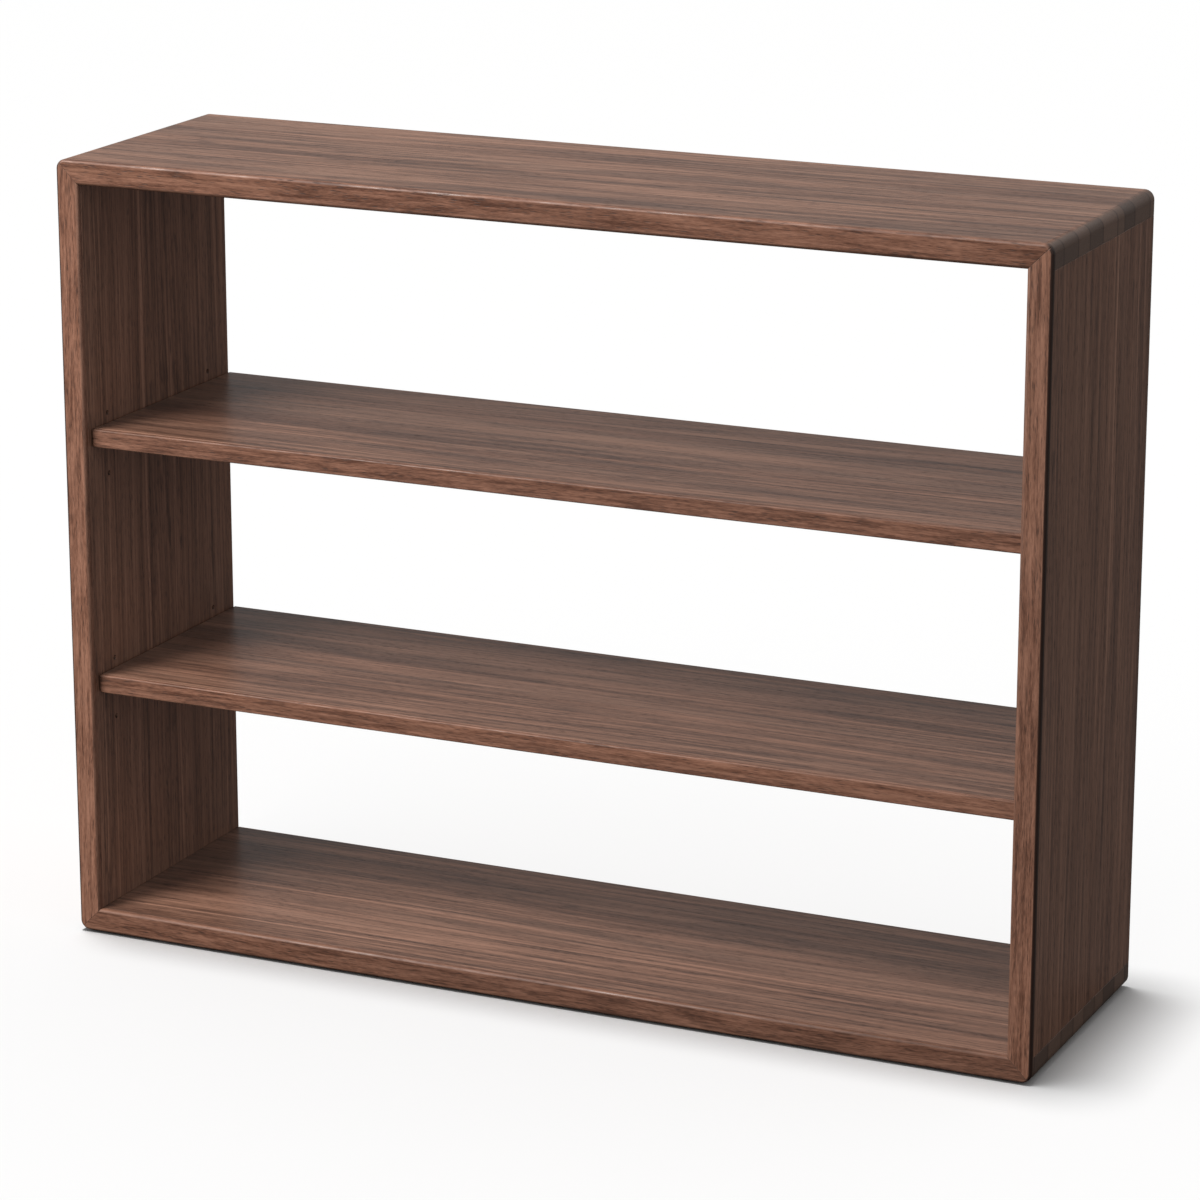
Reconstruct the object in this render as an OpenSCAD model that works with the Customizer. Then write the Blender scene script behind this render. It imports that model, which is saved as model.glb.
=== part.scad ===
// Open-backed bookcase with a mitred front edge and two shelves that lift off
// their pegs. The origin is on the floor under the middle of the case, with
// +X to the right, +Y to the rear and +Z up.

/* [Case] */
// Width over the two sides
case_w = 1060; // [700:10:1600]
// Height from the floor to the top face
case_h = 825; // [700:1:1400]
// Depth from the front face to the rear edges
case_d = 300; // [220:5:420]
// Thickness of the top, the bottom and the sides
board_t = 25; // [20:0.5:40]
// Radius of the four outer corners, seen from the front
corner_r = 10; // [4:0.5:18]

/* [Front lippings] */
// Depth of the solid lipping along the front edges of the case
lipping_d = 6; // [5:0.5:15]
// Rounding of the front arrises of the case
arris_r = 3; // [1:0.5:3.5]

/* [Shelves] */
// Thickness of a shelf
shelf_t = 19; // [15:0.5:30]
// Height of the upper shelf's top face above the floor
upper_shelf_top = 545; // [400:1:580]
// Height of the lower shelf's top face above the floor
lower_shelf_top = 282; // [150:1:320]
// Distance from the case's front face back to a shelf's front edge
shelf_set_back = 11; // [4:0.5:30]
// Gap between a shelf's end and the side, at each end
shelf_end_gap = 1.5; // [0.5:0.1:3]
// Depth of the solid lipping along a shelf's front edge
shelf_lipping_d = 5; // [3:0.5:15]
// Rounding of a shelf's front arrises
shelf_arris_r = 1.5; // [0.5:0.25:2.5]

/* [Pegs and peg holes] */
// Diameter of a peg hole
peg_hole_d = 5; // [4:0.5:8]
// Depth of a peg hole
peg_hole_depth = 10; // [6:0.5:14]
// Gap all round between a peg's shank and its hole
peg_clearance = 0.05; // [0.01:0.01:0.1]
// Distance between the end of the shank and the bottom of its hole
peg_end_gap = 1.5; // [0.5:0.5:3]
// How much wider the peg's head is than its hole
peg_shoulder = 2; // [1:0.5:4]
// Length of the head that a shelf rests on
peg_head_l = 8; // [5:0.5:14]
// Depth of the flat on top of the head
peg_flat_depth = 0.5; // [0.2:0.1:1]
// Chamfer on both ends of a peg
peg_chamfer = 0.6; // [0.2:0.1:0.8]
// Height between one row of holes and the next
hole_pitch = 32; // [20:1:50]
// Rows of holes above a shelf's own row, and the same number below it
spare_rows = 1; // [0:1:2]
// Distance from the front face, and from the rear edge, to a column of holes
column_inset = 45; // [30:1:80]

/* [Dowels] */
// Diameter of a dowel and of its holes
dowel_d = 8; // [6:1:10]
// Length of a dowel
dowel_l = 30; // [25:1:40]
// How far a dowel goes into the top or the bottom
dowel_in_board = 12; // [8:1:14]
// Glue space past each end of a dowel
dowel_end_gap = 1; // [0.5:0.5:3]
// Chamfer on both ends of a dowel
dowel_chamfer = 0.8; // [0.3:0.1:1.5]
// Dowels in each corner of the case
dowel_count = 4; // [2:1:6]
// Distance from the front and rear edges to the outermost dowels
dowel_inset = 40; // [30:1:60]

/* [Glides] */
// Diameter of a floor glide
glide_d = 20; // [12:1:30]
// Height that a glide lifts the case off the floor
glide_h = 2; // [1:0.5:6]
// Diameter of a glide's spigot and of its hole
glide_spigot_d = 5; // [4:0.5:8]
// Length of a glide's spigot
glide_spigot_l = 10; // [6:1:14]
// Distance from the outer faces of the case to a glide's centre
glide_inset = 32; // [20:1:80]

/* [Hidden] */
$fn = 64;
over = 1;  // how far a cutter runs past the face it cuts
front_y = -case_d / 2;
rear_y = case_d / 2;
carcass_h = case_h - glide_h;
mid_z = glide_h + carcass_h / 2;
inner_w = case_w - 2 * board_t;
floor_z = glide_h + board_t;  // top face of the bottom board
roof_z = case_h - board_t;    // underside of the top board
shelf_w = inner_w - 2 * shelf_end_gap;
shelf_front_y = front_y + shelf_set_back;
peg_head_d = peg_hole_d + peg_shoulder;
peg_shank_d = peg_hole_d - 2 * peg_clearance;
peg_shank_l = peg_hole_depth - peg_end_gap;
flat_above_axis = peg_head_d / 2 - peg_flat_depth;
upper_peg_z = upper_shelf_top - shelf_t - flat_above_axis;
lower_peg_z = lower_shelf_top - shelf_t - flat_above_axis;
peg_columns = [front_y + column_inset, rear_y - column_inset];
dowel_in_side = dowel_l - dowel_in_board;
dowel_x = case_w / 2 - board_t / 2;
dowel_first_y = front_y + dowel_inset;
dowel_step = (case_d - 2 * dowel_inset) / (dowel_count - 1);
dowel_ys = [for (i = [0 : dowel_count - 1]) dowel_first_y + i * dowel_step];

walnut = [0.42, 0.32, 0.26];
walnut_edge = [0.50, 0.36, 0.28];
beech = [0.80, 0.66, 0.48];
steel = [0.72, 0.72, 0.70];
nylon = [0.12, 0.12, 0.12];

// ---- shapes that several pieces share ----

// Edge profile: depth from the front along x, height along y, front corners rounded
module edge_profile(depth, height, r) {
    translate([r, 0]) square([depth - r, height]);
    translate([0, r]) square([depth, height - 2 * r]);
    for (y = [r, height - r]) translate([r, y]) circle(r);
}

// Strip with that profile, centred along X, its front face on y = 0
module edge_strip(length, depth, height, r) {
    rotate([90, 0, 90]) translate([0, 0, -length / 2])
        linear_extrude(length) edge_profile(depth, height, r);
}

// Rod along +Z with both ends chamfered
module chamfered_rod(d, length, chamfer) {
    rotate_extrude() polygon([
        [0, 0], [d / 2 - chamfer, 0], [d / 2, chamfer],
        [d / 2, length - chamfer], [d / 2 - chamfer, length], [0, length]
    ]);
}

// Turns its children about the case's middle, so that what faces up faces
// down, left or right instead
module facing(angle) {
    translate([0, 0, mid_z]) rotate([0, angle, 0]) children();
}

// ---- case ----

// Eighth of the rounded outer corner, from straight up to the mitre
module corner_eighth(r) {
    rotate([-90, 0, 0]) rotate([0, 0, -90]) rotate_extrude(angle = 45) {
        square([r - arris_r, lipping_d]);
        translate([0, arris_r]) square([r, lipping_d - arris_r]);
        translate([r - arris_r, arris_r]) intersection() {
            circle(arris_r);
            translate([0, -arris_r]) square(2 * arris_r);
        }
    }
}

// Front lipping facing up: its outer face is `reach` above the case's middle
// and `length` long, and both ends are mitred
module lipping(length, reach) {
    straight = length / 2 - corner_r;
    inner = length / 2 - board_t;
    translate([0, front_y, 0]) {
        intersection() {
            translate([0, 0, reach - board_t])
                edge_strip(length, lipping_d, board_t, arris_r);
            rotate([90, 0, 0]) translate([0, 0, -lipping_d - over])
                linear_extrude(lipping_d + 2 * over) polygon([
                    [-straight, reach + over], [straight, reach + over],
                    [straight, reach - corner_r],
                    [inner - over, reach - board_t - over],
                    [over - inner, reach - board_t - over],
                    [-straight, reach - corner_r]
                ]);
        }
        for (side = [0, 1]) mirror([side, 0, 0])
            translate([straight, 0, reach - corner_r]) corner_eighth(corner_r);
    }
}

// Top or bottom board facing up: it laps over the ends of both sides
module lapping_board() {
    depth = case_d - lipping_d;
    top = carcass_h / 2;
    difference() {
        translate([0, rear_y, 0]) rotate([90, 0, 0]) linear_extrude(depth) {
            translate([-case_w / 2, top - board_t]) square([case_w, board_t - corner_r]);
            translate([corner_r - case_w / 2, top - board_t])
                square([case_w - 2 * corner_r, board_t]);
            for (side = [-1, 1])
                translate([side * (case_w / 2 - corner_r), top - corner_r]) circle(corner_r);
        }
        for (x = [-dowel_x, dowel_x], y = dowel_ys)
            translate([x, y, top - board_t - over])
                cylinder(d = dowel_d, h = dowel_in_board + dowel_end_gap + over);
    }
}

module side_board() {
    length = carcass_h - 2 * board_t;
    hole = dowel_in_side + dowel_end_gap;
    difference() {
        translate([inner_w / 2, front_y + lipping_d, floor_z])
            cube([board_t, case_d - lipping_d, length]);
        for (y = dowel_ys, z = [floor_z - over, roof_z - hole])
            translate([dowel_x, y, z]) cylinder(d = dowel_d, h = hole + over);
        for (y = peg_columns, z = [lower_peg_z, upper_peg_z], row = [-spare_rows : spare_rows])
            translate([inner_w / 2 - over, y, z + row * hole_pitch]) rotate([0, 90, 0])
                cylinder(d = peg_hole_d, h = peg_hole_depth + over);
    }
}

module top_board() { color(walnut) facing(0) lapping_board(); }

module bottom_board() {
    color(walnut) difference() {
        facing(180) lapping_board();
        for (x = [-1, 1], y = [-1, 1]) at_glide(x, y)
            translate([0, 0, glide_h - over])
                cylinder(d = glide_spigot_d, h = glide_spigot_l + over);
    }
}

module left_side() { color(walnut) mirror([1, 0, 0]) side_board(); }
module right_side() { color(walnut) side_board(); }

module top_front_lipping() { color(walnut_edge) facing(0) lipping(case_w, carcass_h / 2); }
module bottom_front_lipping() { color(walnut_edge) facing(180) lipping(case_w, carcass_h / 2); }
module left_front_lipping() { color(walnut_edge) facing(-90) lipping(carcass_h, case_w / 2); }
module right_front_lipping() { color(walnut_edge) facing(90) lipping(carcass_h, case_w / 2); }

// ---- dowels: x is -1 on the left and 1 on the right ----

module dowels(x, low_z) {
    color(beech) for (y = dowel_ys)
        translate([x * dowel_x, y, low_z]) chamfered_rod(dowel_d, dowel_l, dowel_chamfer);
}

module top_left_dowels() { dowels(-1, roof_z - dowel_in_side); }
module top_right_dowels() { dowels(1, roof_z - dowel_in_side); }
module bottom_left_dowels() { dowels(-1, floor_z - dowel_in_board); }
module bottom_right_dowels() { dowels(1, floor_z - dowel_in_board); }

// ---- shelves ----

module shelf_board(top) {
    board_front = shelf_front_y + shelf_lipping_d;
    color(walnut) translate([-shelf_w / 2, board_front, top - shelf_t])
        cube([shelf_w, rear_y - board_front, shelf_t]);
}

module shelf_lipping(top) {
    color(walnut_edge) translate([0, shelf_front_y, top - shelf_t])
        edge_strip(shelf_w, shelf_lipping_d, shelf_t, shelf_arris_r);
}

module upper_shelf_board() { shelf_board(upper_shelf_top); }
module upper_shelf_lipping() { shelf_lipping(upper_shelf_top); }
module lower_shelf_board() { shelf_board(lower_shelf_top); }
module lower_shelf_lipping() { shelf_lipping(lower_shelf_top); }

// ---- pegs: x is -1 on the left side, column 0 is the front one ----

module peg(x, column, z) {
    color(steel) mirror([x < 0 ? 1 : 0, 0, 0])
        translate([inner_w / 2, peg_columns[column], z]) difference() {
            rotate([0, -90, 0]) {
                translate([0, 0, -peg_shank_l])
                    chamfered_rod(peg_shank_d, peg_shank_l + peg_head_l / 2, peg_chamfer);
                rotate_extrude() polygon([
                    [0, 0], [peg_head_d / 2, 0], [peg_head_d / 2, peg_head_l - peg_chamfer],
                    [peg_head_d / 2 - peg_chamfer, peg_head_l], [0, peg_head_l]
                ]);
            }
            translate([-peg_head_l - over, -peg_head_d, flat_above_axis])
                cube([peg_head_l + 2 * over, 2 * peg_head_d, peg_head_d]);
        }
}

module upper_left_front_peg() { peg(-1, 0, upper_peg_z); }
module upper_left_rear_peg() { peg(-1, 1, upper_peg_z); }
module upper_right_front_peg() { peg(1, 0, upper_peg_z); }
module upper_right_rear_peg() { peg(1, 1, upper_peg_z); }
module lower_left_front_peg() { peg(-1, 0, lower_peg_z); }
module lower_left_rear_peg() { peg(-1, 1, lower_peg_z); }
module lower_right_front_peg() { peg(1, 0, lower_peg_z); }
module lower_right_rear_peg() { peg(1, 1, lower_peg_z); }

// ---- glides: x is -1 on the left, y is -1 at the front ----

module at_glide(x, y) {
    translate([x * (case_w / 2 - glide_inset), y * (case_d / 2 - glide_inset), 0]) children();
}

module glide(x, y) {
    spigot_top = glide_h + glide_spigot_l;
    bevel = glide_h / 3;
    color(nylon) at_glide(x, y) rotate_extrude() polygon([
        [0, 0], [glide_d / 2 - bevel, 0], [glide_d / 2, bevel], [glide_d / 2, glide_h],
        [glide_spigot_d / 2, glide_h], [glide_spigot_d / 2, spigot_top], [0, spigot_top]
    ]);
}

module left_front_glide() { glide(-1, -1); }
module left_rear_glide() { glide(-1, 1); }
module right_front_glide() { glide(1, -1); }
module right_rear_glide() { glide(1, 1); }

top_board();
bottom_board();
left_side();
right_side();
top_front_lipping();
bottom_front_lipping();
left_front_lipping();
right_front_lipping();
upper_shelf_board();
upper_shelf_lipping();
lower_shelf_board();
lower_shelf_lipping();
top_left_dowels();
top_right_dowels();
bottom_left_dowels();
bottom_right_dowels();
upper_left_front_peg();
upper_left_rear_peg();
upper_right_front_peg();
upper_right_rear_peg();
lower_left_front_peg();
lower_left_rear_peg();
lower_right_front_peg();
lower_right_rear_peg();
left_front_glide();
left_rear_glide();
right_front_glide();
right_rear_glide();
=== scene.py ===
import math
import random

import bmesh
import bpy
from mathutils import Matrix, Vector


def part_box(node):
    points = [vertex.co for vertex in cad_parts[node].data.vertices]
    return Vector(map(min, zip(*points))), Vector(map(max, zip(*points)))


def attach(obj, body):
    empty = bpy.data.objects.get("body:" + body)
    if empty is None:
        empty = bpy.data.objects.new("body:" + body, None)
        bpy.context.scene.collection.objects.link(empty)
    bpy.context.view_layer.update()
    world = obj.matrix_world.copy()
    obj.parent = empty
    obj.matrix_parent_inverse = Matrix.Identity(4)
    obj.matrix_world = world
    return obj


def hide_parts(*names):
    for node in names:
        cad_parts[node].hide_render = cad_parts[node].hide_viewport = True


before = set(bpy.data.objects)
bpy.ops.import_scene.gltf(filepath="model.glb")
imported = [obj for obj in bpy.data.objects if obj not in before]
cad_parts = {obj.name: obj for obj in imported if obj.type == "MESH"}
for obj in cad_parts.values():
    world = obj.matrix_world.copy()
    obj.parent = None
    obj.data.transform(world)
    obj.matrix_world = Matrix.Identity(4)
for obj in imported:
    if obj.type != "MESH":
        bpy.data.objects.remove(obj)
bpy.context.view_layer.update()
mm = 0.001

cameraView = {
    "aim": (0.0165, -0.0244, 0.3949),  # in metres
    "azimuth": 24.59,                  # degrees to the right of straight on
    "elevation": 15.8,                 # degrees above level
    "distance": 4.566,
    "lens": 135.65,
    "sensor": 36.0,
}


def lookDirection(azimuth, elevation):
    turn, lift = math.radians(azimuth), math.radians(elevation)
    return Vector((-math.sin(turn) * math.cos(lift), math.cos(turn) * math.cos(lift), -math.sin(lift)))


def addCamera():
    data = bpy.data.cameras.new("camera")
    data.lens = cameraView["lens"]
    data.sensor_width = cameraView["sensor"]
    camera = bpy.data.objects.new("camera", data)
    look = lookDirection(cameraView["azimuth"], cameraView["elevation"])
    camera.location = Vector(cameraView["aim"]) - look * cameraView["distance"]
    camera.rotation_euler = look.to_track_quat("-Z", "Y").to_euler()
    bpy.context.scene.collection.objects.link(camera)
    bpy.context.scene.camera = camera


studio = {
    "floorSize": 60.0,
    "floorSeen": (0.90, 0.90, 0.90, 1),     # the floor as the camera sees it
    "floorBounce": (0.27, 0.265, 0.26, 1),  # the floor as it lights the object
    "floorGloss": (0.07, 0.07, 0.07, 1),    # the floor as the varnish reflects it
    "floorRoughness": 0.9,
    "floorSpecular": 0.1,
    "roomColour": (1.0, 0.995, 0.99, 1),
    "roomStrength": 0.27,
    "backdrop": 0.98,  # the strength of the room as the camera sees it
}
keyLight = {
    "place": (-2.1, -2.6, 3.0),
    "aim": (-0.1, 0, 0.4),
    "size": 1.8,
    "power": 280,
    "colour": (1, 0.985, 0.965),
}
skylights = {
    # direction, strength, spread in degrees, which part of the scene it reaches
    "objectSky": ((0.2, 0.25, -1.0), 1.3, 75, "EXCLUDE"),
    "sideFill": ((-1.0, 0.4, -0.35), 0.45, 60, "EXCLUDE"),
    "backFill": ((-0.4, -1.0, -0.9), 0.25, 40, "EXCLUDE"),
    "floorSky": ((0.066, 0.0, -1.0), 2.7, 9.0, "INCLUDE"),
}


def addLamp(name, kind, direction, power, floor, reach):
    data = bpy.data.lights.new(name, kind)
    data.energy = power
    lamp = bpy.data.objects.new(name, data)
    lamp.rotation_euler = direction.to_track_quat("-Z", "Y").to_euler()
    bpy.context.scene.collection.objects.link(lamp)
    # the floor has a light of its own, so that the object's shadow stays close to its foot
    linked = bpy.data.collections.new(name + "Reach")
    linked.objects.link(floor)
    linked.collection_objects[0].light_linking.link_state = reach
    lamp.light_linking.receiver_collection = linked
    return lamp


def addLights(floor):
    place = Vector(keyLight["place"])
    lamp = addLamp("key", "AREA", Vector(keyLight["aim"]) - place, keyLight["power"], floor, "EXCLUDE")
    lamp.location = place
    lamp.data.shape = "SQUARE"
    lamp.data.size = keyLight["size"]
    lamp.data.color = keyLight["colour"]
    for name, (direction, strength, spread, reach) in skylights.items():
        lamp = addLamp(name, "SUN", Vector(direction), strength, floor, reach)
        lamp.data.angle = math.radians(spread)


def addNode(tree, kind, values=None, **settings):
    made = tree.nodes.new(kind)
    for key, value in settings.items():
        setattr(made, key, value)
    for socket, value in (values or {}).items():
        if isinstance(value, bpy.types.NodeSocket):
            tree.links.new(value, made.inputs[socket])
        else:
            made.inputs[socket].default_value = value
    return made


def firstOutput(tree, kind, values=None):
    return addNode(tree, kind, values).outputs[0]


def calc(tree, operation, first, second=0.0, third=0.0):
    made = addNode(tree, "ShaderNodeMath", {0: first, 1: second, 2: third}, operation=operation)
    return made.outputs[0]


def blendColours(tree, amount, under, over):
    made = addNode(tree, "ShaderNodeMix", {0: amount, 6: under, 7: over}, data_type="RGBA")
    return made.outputs[2]


def ramp(tree, amount, stops):
    made = addNode(tree, "ShaderNodeValToRGB", {0: amount})
    row = made.color_ramp
    row.elements[0].position, row.elements[1].position = stops[0][0], stops[-1][0]
    row.elements[0].color, row.elements[1].color = stops[0][1], stops[-1][1]
    for place, colour in stops[1:-1]:
        row.elements.new(place).color = colour
    return made.outputs[0]


def grey(value):
    return (value, value, value, 1)


walnutBoards = {
    "dark": (0.074, 0.036, 0.024, 1),
    "middle": (0.166, 0.084, 0.055, 1),
    "light": (0.275, 0.147, 0.100, 1),
    "greyDark": (0.080, 0.043, 0.031, 1),
    "greyLight": (0.205, 0.118, 0.082, 1),
    "lateWood": (0.052, 0.027, 0.020, 1),
    "paleLine": (0.370, 0.200, 0.138, 1),
    "pore": (0.026, 0.013, 0.010, 1),
    "endDark": (0.085, 0.055, 0.042, 1),
    "endLight": (0.142, 0.087, 0.063, 1),
    # paler colour on the arrises: painted highlight, and rubbed wear too
    "paintedHighlightAndWear": (0.270, 0.150, 0.105, 1),
    "ringGap": 8.0 * mm,
    "streakRate": 3.4,  # streaks per metre along the grain
    "staveWidth": 34.0 * mm,
    "streakWidth": 8.5 * mm,
    "fibreRate": 30.0,
    "fibreShare": 0.8,
    "poreShare": 0.85,
    "patchShare": 0.8,
    "greyShare": 0.6,
    "contrast": 1.0,
    # painted shade for the faces of the upright lippings that turn outwards
    "paintedShade": (0.018, 0.008, 0.005, 1),
    "roughness": 0.31,
    "specular": 0.42,
}
walnutLippings = {
    "dark": (0.074, 0.031, 0.019, 1),
    "middle": (0.160, 0.073, 0.046, 1),
    "light": (0.250, 0.122, 0.080, 1),
    "greyDark": (0.078, 0.040, 0.029, 1),
    "greyLight": (0.165, 0.086, 0.060, 1),
    "lateWood": (0.060, 0.028, 0.019, 1),
    "paleLine": (0.300, 0.150, 0.097, 1),
    "pore": (0.032, 0.015, 0.010, 1),
    "endDark": (0.055, 0.029, 0.021, 1),
    "endLight": (0.130, 0.069, 0.046, 1),
    # paler colour on the arrises: painted highlight, and rubbed wear too
    "paintedHighlightAndWear": (0.275, 0.145, 0.098, 1),
    "ringGap": 5.5 * mm,
    "streakRate": 13.0,
    "staveWidth": 90.0 * mm,
    "streakWidth": 5.0 * mm,
    "fibreRate": 130.0,
    "fibreShare": 1.3,
    "poreShare": 0.95,
    "patchShare": 0.5,
    "greyShare": 0.35,
    "contrast": 0.85,
    # painted shade for the faces of the upright lippings that turn outwards
    "paintedShade": (0.018, 0.008, 0.005, 1),
    "roughness": 0.36,
    "specular": 0.36,
}
walnutUprights = dict(
    walnutBoards, contrast=0.7, patchShare=0.5, greyShare=0.2, streakWidth=6.0 * mm, specular=0.3,
)


def lighterWood(look, share):
    # the same wood made paler, or with a share below 1 the wood of a darker tree
    changed = dict(look)
    for key, value in look.items():
        if isinstance(value, tuple):
            changed[key] = tuple(c * share for c in value[:3]) + (1,)
    return changed


# painted light: the left side is made paler than the right, standing in for light on its shaded inner face
leftUprightPaintedLight = lighterWood(walnutUprights, 1.3)
walnutRails = lighterWood(walnutLippings, 0.86)

# what all the walnut has in common
figure = {
    # how often a layer repeats per metre along and across the grain, then its detail and roughness
    "slowBend": (1.1, 6, 1.0, 0.5),
    "quickBend": (7.0, 22, 2.0, 0.5),
    "lean": (0.35, 0.8, 1.0, 0.5),
    "patches": (0.9, 11, 2.0, 0.5),
    "greyness": (1.6, 26, 2.0, 0.5),
    "paleLines": (0.7, 120, 0.0, 0.5),
    # where the painted highlight and wear on the arrises break up
    "flecks": (24, 140, 2.0, 0.6),
    "highlightAndWearNoise": (14, 60, 3.0, 0.6),
    "pores": (68, 620),
    "endPores": (1000, 1000),
    "streakDetail": (4.0, 0.68),
    "fineDetail": (2.0, 0.6),
    "lineRate": 1.6,  # times the look's own streakRate
    "linesAcross": 340,
    "fibresAcross": 1100,
    # where a mark sets in and where it ends, then how strong it is at each
    "strongRings": (0.38, 0.66, 0.05, 1.0),
    "greyCut": (0.44, 0.70),
    "paleCut": (0.72, 0.84, 0.0, 0.55),
    "fleckCut": (0.56, 0.72, 0.0, 1.0),
    "fleckPatches": (0.38, 0.60, 0.75, 0.12),
    "poreEdge": (0.17, 0.34, 1.0, 0.0),
    "poreStreaks": (0.36, 0.62, 1.0, 0.22),
    "endPoreEdge": (0.22, 0.42, 0.45, 0.0),
    "fineGlue": (0.010, 0.030, 0.2, 0.0),
    "wideGlue": (0.016, 0.055, 0.65, 0.0),
    "highlightAndWearCut": (0.45, 0.72, 0.0, 0.45),
    # the tones at which each colour is at its own, from dark to light
    "warmTones": (0.08, 0.48, 0.94),
    "coolTones": (0.10, 0.90),
    # how much each layer moves the tone about the middle one
    "middleTone": 0.47,
    "streakShare": 2.1,
    "lineShare": 1.3,
    "staveShare": 0.18,
    "tintShare": 0.16,
    "lateWoodShare": 0.5,
    "endRingShare": 0.2,
    # how strongly the painted shade darkens the outward faces
    "paintedShadeShare": 0.95,
}
growth = {
    "slowSwing": 34.0 * mm,    # how far the fibres wander
    "quickSwing": 3.5 * mm,
    "heartAside": 50.0 * mm,   # from the board to the heart of the tree
    "heartBelow": 90.0 * mm,
    "heartSpread": 80.0 * mm,  # and how much that differs from stave to stave
    "leanSwing": 140.0 * mm,
    "ringWobble": 0.7,
    "staveShift": 4.0,
    "staveVariety": 0.85,
    "lateWoodEdge": 5.0,
    "luckRate": 0.6,
    "luckScale": 1.7,
    "luckDetail": (1.0, 0.5),
}
varnish = {
    "ior": 1.47,
    "streakRoughness": 0.18,
    "poreRoughness": 0.2,
    "endRoughness": 0.14,
    "arrisRoughness": 0.24,
    "poreDepth": -0.8,
    "fibreHeight": 0.5,
    "lineHeight": 0.4,
    "bumpStrength": 0.5,
    "bumpDepth": 0.22 * mm,
}


def stretched(tree, parts, along, across):
    rates = (along, across, across)
    return joined(tree, *[calc(tree, "MULTIPLY", part, rate) for part, rate in zip(parts, rates)])


def joined(tree, x, y, z):
    return firstOutput(tree, "ShaderNodeCombineXYZ", {0: x, 1: y, 2: z})


def noise(tree, vector, detail, roughness, scale=1.0):
    return firstOutput(tree, "ShaderNodeTexNoise", {
        "Vector": vector, "Scale": scale, "Detail": detail, "Roughness": roughness,
    })


def layer(tree, parts, along, across, detail, roughness):
    return noise(tree, stretched(tree, parts, along, across), detail, roughness)


def centred(tree, value, gain):
    return calc(tree, "MULTIPLY", calc(tree, "SUBTRACT", value, 0.5), gain)


def fade(tree, value, start, end, atStart=0.0, atEnd=1.0):
    return ramp(tree, value, [(start, grey(atStart)), (end, grey(atEnd))])


def readAttribute(tree, name, output="Fac"):
    return addNode(tree, "ShaderNodeAttribute", attribute_name=name).outputs[output]


def staveCells(tree, across, look, feature):
    # the staves that a board is glued up from
    cells = addNode(tree, "ShaderNodeTexVoronoi", {
        "W": across, "Scale": 1 / look["staveWidth"], "Randomness": growth["staveVariety"],
    }, voronoi_dimensions="1D", feature=feature)
    return cells.outputs


def distanceToDot(tree, parts, along, across):
    cells = addNode(tree, "ShaderNodeTexVoronoi", {
        "Vector": stretched(tree, parts, along, across), "Scale": 1.0, "Randomness": 1.0,
    }, voronoi_dimensions="3D", feature="F1")
    return cells.outputs["Distance"]


def growWood(tree, look):
    # grain space: g runs along the fibres, a across the face, b through the thickness
    g, a, b = addNode(tree, "ShaderNodeSeparateXYZ", {0: readAttribute(tree, "grain", "Vector")}).outputs
    straight = (g, a, b)

    # each stave has its own tone and figure
    staveColour = staveCells(tree, a, look, "F1")["Color"]
    staveTone, staveLuck, staveTint = addNode(tree, "ShaderNodeSeparateColor", {0: staveColour}).outputs

    # the fibres wander a little from straight, more at some places along the board
    slow = layer(tree, straight, *figure["slowBend"])
    quick = layer(tree, straight, *figure["quickBend"])
    swing = calc(
        tree, "ADD", centred(tree, slow, growth["slowSwing"]), centred(tree, quick, growth["quickSwing"]),
    )
    bent = calc(tree, "ADD", a, swing)
    shifted = calc(tree, "MULTIPLY_ADD", staveLuck, growth["staveShift"], g)
    parts = (shifted, bent, b)

    # growth rings about a heart line that lies below the board and leans along it
    aside = calc(tree, "SUBTRACT", bent, growth["heartAside"])
    aside = calc(tree, "MULTIPLY_ADD", staveLuck, growth["heartSpread"], aside)
    lean = layer(tree, (shifted, a, b), *figure["lean"])
    below = calc(tree, "ADD", b, growth["heartBelow"])
    below = calc(tree, "ADD", centred(tree, lean, growth["leanSwing"]), below)
    squares = calc(tree, "ADD", calc(tree, "MULTIPLY", aside, aside), calc(tree, "MULTIPLY", below, below))
    ringCount = calc(tree, "DIVIDE", calc(tree, "SQRT", squares), look["ringGap"])
    wobble = centred(tree, quick, growth["ringWobble"])
    ringPhase = calc(tree, "FRACT", calc(tree, "ADD", ringCount, wobble))
    alongRing = calc(tree, "MULTIPLY", shifted, growth["luckRate"])
    ringPlace = joined(tree, alongRing, calc(tree, "FLOOR", ringCount), 0.0)
    ringLuck = noise(tree, ringPlace, *growth["luckDetail"], growth["luckScale"])
    strength = fade(tree, ringLuck, *figure["strongRings"])
    lateWood = calc(tree, "MULTIPLY", calc(tree, "POWER", ringPhase, growth["lateWoodEdge"]), strength)

    streaks = layer(tree, parts, look["streakRate"], 1 / look["streakWidth"], *figure["streakDetail"])
    lineRate = figure["lineRate"] * look["streakRate"]
    poreDistance = distanceToDot(tree, (g, bent, b), *figure["pores"])
    pores = fade(tree, poreDistance, *figure["poreEdge"])
    return {
        "straight": straight,
        "bent": (g, bent, b),
        "parts": parts,
        "staveTone": staveTone,
        "staveTint": staveTint,
        "ringPhase": ringPhase,
        "lateWood": lateWood,
        "streaks": streaks,
        "lines": layer(tree, parts, lineRate, figure["linesAcross"], *figure["fineDetail"]),
        "fibres": layer(tree, parts, look["fibreRate"], figure["fibresAcross"], *figure["fineDetail"]),
        # pores are short dark dashes along the fibres, thicker in the dark wood
        "pores": calc(tree, "MULTIPLY", pores, fade(tree, streaks, *figure["poreStreaks"])),
        "endGrain": readAttribute(tree, "endGrain"),
    }


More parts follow.
